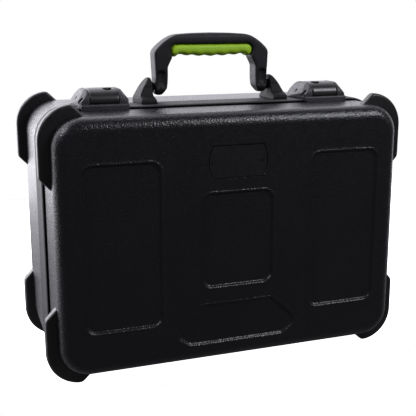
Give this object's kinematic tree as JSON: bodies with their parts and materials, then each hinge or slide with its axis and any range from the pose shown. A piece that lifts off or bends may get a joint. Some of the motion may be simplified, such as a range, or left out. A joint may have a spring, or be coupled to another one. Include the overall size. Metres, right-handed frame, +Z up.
{
  "type": "microphone case",
  "caption": "Hard moulded case for microphones with a hinged lid, corner bumpers, folding handle, latches and foam pockets.",
  "frame": {"origin": "under the middle of the case, on the surface that the corner bumpers stand on", "axes": "+X along the case's width, +Y from the lid towards the base's rear face, +Z up towards the handle"},
  "size_m": [0.447, 0.1965, 0.3924],
  "materials": {
    "shell": "pebble-grained polyethylene, satin",
    "valance": "extruded rim, fine ridges, satin",
    "foam": "dense open-cell foam, matt",
    "steel_black": "black-coated pressed steel",
    "steel": "zinc-plated",
    "handle": "moulded nylon, satin",
    "grip": "soft overmoulded rubber, satin",
    "bracket": "moulded nylon, satin",
    "latch": "textured glass-filled nylon",
    "lever": "smooth moulded nylon, satin",
    "badge": "bare plate, satin gloss"
  },
  "bodies": {
    "base": {"base_shell": "shell", "base_valance": "valance", "base_foam_pad": "foam", "mic_foam_1": "foam", "mic_foam_2": "foam", "mic_foam_3": "foam", "mic_foam_4": "foam", "mic_foam_5": "foam", "accessory_foam": "foam", "hinge_base_leaves": "steel_black", "hinge_pins": "steel", "hinge_base_rivets": "steel", "handle_bracket_left": "bracket", "handle_bracket_right": "bracket", "handle_pins": "steel", "bracket_screws": "steel", "latch_housing_left": "latch", "latch_housing_right": "latch", "latch_lever_pins": "steel", "latch_screws": "steel"},
    "lid": {"lid_shell": "shell", "lid_valance": "valance", "lid_foam": "foam", "hinge_lid_leaves": "steel_black", "hinge_lid_rivets": "steel", "badge_plate": "badge", "badge_screws": "steel_black", "latch_keeper_left": "lever", "latch_keeper_right": "lever", "keeper_screws": "steel"},
    "handle": {"handle_bail": "handle", "handle_grip": "grip"},
    "lever_left": {"latch_lever_left": "lever", "latch_hook_pins_left": "steel"},
    "lever_right": {"latch_lever_right": "lever", "latch_hook_pins_right": "steel"},
    "hook_left": {"latch_hook_left": "lever"},
    "hook_right": {"latch_hook_right": "lever"},
    "lock_left": {"lock_core_left": "steel"},
    "lock_right": {"lock_core_right": "steel"}
  },
  "joints": [
    {"name": "lid_hinge", "type": "hinge", "parent": "base", "child": "lid", "pos_m": [0, -0.034, 0.0042], "axis": [1, 0, 0], "range_deg": [0, 100]},
    {"name": "handle_fold", "type": "hinge", "parent": "base", "child": "handle", "pos_m": [0, -0.003, 0.3295], "axis": [-1, 0, 0], "range_deg": [0, 90]},
    {"name": "latch_lever_left", "type": "hinge", "parent": "base", "child": "lever_left", "pos_m": [-0.1395, -0.014, 0.3205], "axis": [-1, 0, 0], "range_deg": [0, 90]},
    {"name": "latch_hook_left", "type": "hinge", "parent": "lever_left", "child": "hook_left", "pos_m": [-0.1395, -0.032, 0.3199], "axis": [1, 0, 0], "range_deg": [0, 30]},
    {"name": "lock_turn_left", "type": "hinge", "parent": "lever_left", "child": "lock_left", "pos_m": [-0.133, -0.023, 0.33], "axis": [0, 0, 1], "range_deg": [0, 90]},
    {"name": "latch_lever_right", "type": "hinge", "parent": "base", "child": "lever_right", "pos_m": [0.1395, -0.014, 0.3205], "axis": [-1, 0, 0], "range_deg": [0, 90]},
    {"name": "latch_hook_right", "type": "hinge", "parent": "lever_right", "child": "hook_right", "pos_m": [0.1395, -0.032, 0.3199], "axis": [1, 0, 0], "range_deg": [0, 30]},
    {"name": "lock_turn_right", "type": "hinge", "parent": "lever_right", "child": "lock_right", "pos_m": [0.133, -0.023, 0.33], "axis": [0, 0, 1], "range_deg": [0, 90]}
  ],
  "couplings": [
    {"joint": "latch_hook_left", "follows": "latch_lever_left", "ratio": 0.3},
    {"joint": "latch_hook_right", "follows": "latch_lever_right", "ratio": 0.3}
  ]
}
